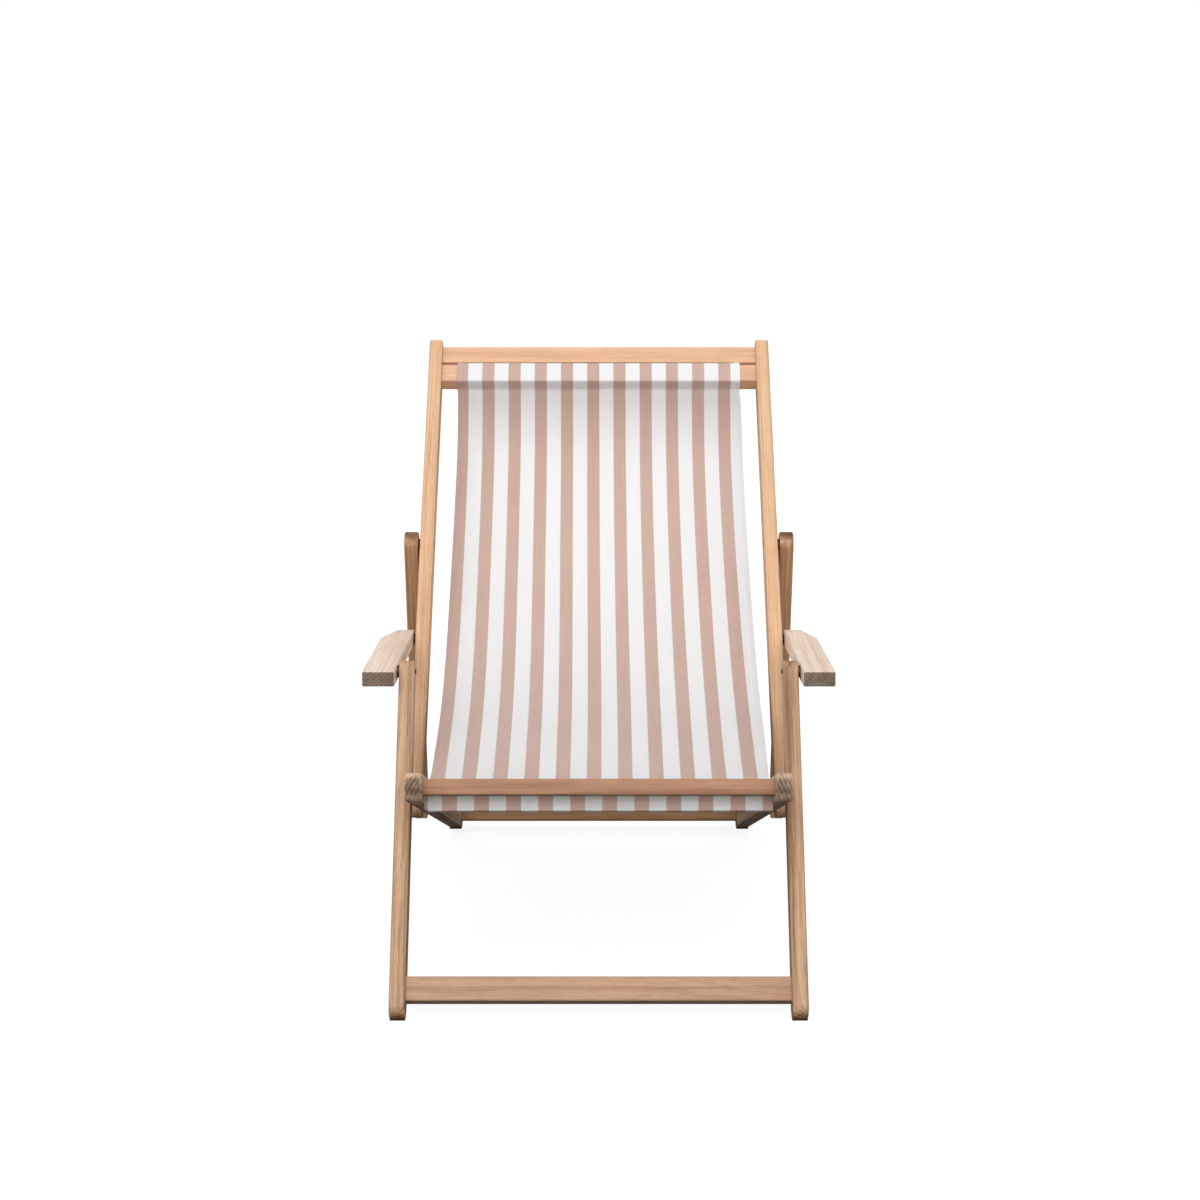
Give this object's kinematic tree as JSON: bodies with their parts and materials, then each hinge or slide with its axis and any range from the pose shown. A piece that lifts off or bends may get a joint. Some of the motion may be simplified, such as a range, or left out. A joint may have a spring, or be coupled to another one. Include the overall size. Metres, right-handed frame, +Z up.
{
  "type": "folding deck chair",
  "caption": "Folding wooden deck chair with flat armrests, a striped fabric sling and a propped back that folds flat onto the seat rails.",
  "frame": {"origin": "on the floor, in the mid-plane of the chair, halfway between the front of the front feet and the rear ends of the seat rails", "axes": "+Z up, -Y the way the sitter's feet point, +Y towards the back, X across the chair"},
  "size_m": [0.606, 0.9542, 0.7691],
  "materials": {
    "seat_wood": "oiled",
    "red_wood": "oiled",
    "back_wood": "oiled",
    "leg_wood": "oiled",
    "prop_wood": "oiled",
    "arm_wood": "oiled",
    "canvas": "matt woven, clay and white stripes",
    "dark_steel": "blackened",
    "glide_rubber": "matt"
  },
  "bodies": {
    "seat_frame": {"left_seat_rail": "seat_wood", "right_seat_rail": "seat_wood", "front_seat_rail": "red_wood", "front_sling_bar": "seat_wood", "rear_seat_rail": "red_wood", "sling": "canvas", "sling_front_sleeve": "canvas", "seat_pivot_bolts": "dark_steel", "seat_pivot_nuts": "dark_steel", "seat_pivot_washers": "dark_steel", "rear_foot_glides": "glide_rubber"},
    "back_frame": {"left_back_rail": "back_wood", "right_back_rail": "back_wood", "top_back_rail": "back_wood", "top_sling_bar": "back_wood", "sling_top_sleeve": "canvas", "prop_pivot_bolts": "dark_steel", "prop_pivot_nuts": "dark_steel", "back_rail_spacers": "dark_steel", "arm_rear_pins": "dark_steel"},
    "leg_frame": {"left_front_leg": "leg_wood", "right_front_leg": "leg_wood", "leg_crossbar": "leg_wood", "leg_top_spacers": "dark_steel", "arm_front_pins": "dark_steel", "front_foot_glides": "glide_rubber"},
    "prop_frame": {"left_prop": "prop_wood", "right_prop": "prop_wood", "prop_crossbar": "prop_wood"},
    "arm_left": {"left_armrest": "arm_wood"},
    "arm_right": {"right_armrest": "arm_wood"}
  },
  "joints": [
    {"name": "back_fold", "type": "hinge", "parent": "seat_frame", "child": "back_frame", "pos_m": [0, -0.11146, 0.1886], "axis": [-1, 0, 0], "range_deg": [0, 61.8], "deforming": ["sling"]},
    {"name": "leg_fold", "type": "hinge", "parent": "seat_frame", "child": "leg_frame", "pos_m": [0, -0.3125, 0.2493], "axis": [-1, 0, 0], "range_deg": [0, 74.4]},
    {"name": "left_arm_swing", "type": "hinge", "parent": "leg_frame", "child": "arm_left", "pos_m": [-0.27, -0.228, 0.38991], "axis": [1, 0, 0], "range_deg": [0, 59.2]},
    {"name": "right_arm_swing", "type": "hinge", "parent": "leg_frame", "child": "arm_right", "pos_m": [0.27, -0.228, 0.38991], "axis": [1, 0, 0], "range_deg": [0, 59.2]},
    {"name": "prop_swing", "type": "hinge", "parent": "back_frame", "child": "prop_frame", "pos_m": [0, 0.19224, 0.4923], "axis": [1, 0, 0], "range_deg": [0, 117.2]}
  ],
  "couplings": [
    {"joint": "leg_fold", "follows": "back_fold", "ratio": 1.2038},
    {"joint": "left_arm_swing", "follows": "back_fold", "ratio": 0.9566},
    {"joint": "right_arm_swing", "follows": "back_fold", "ratio": 0.9566},
    {"joint": "prop_swing", "follows": "back_fold", "ratio": 1.8957}
  ]
}
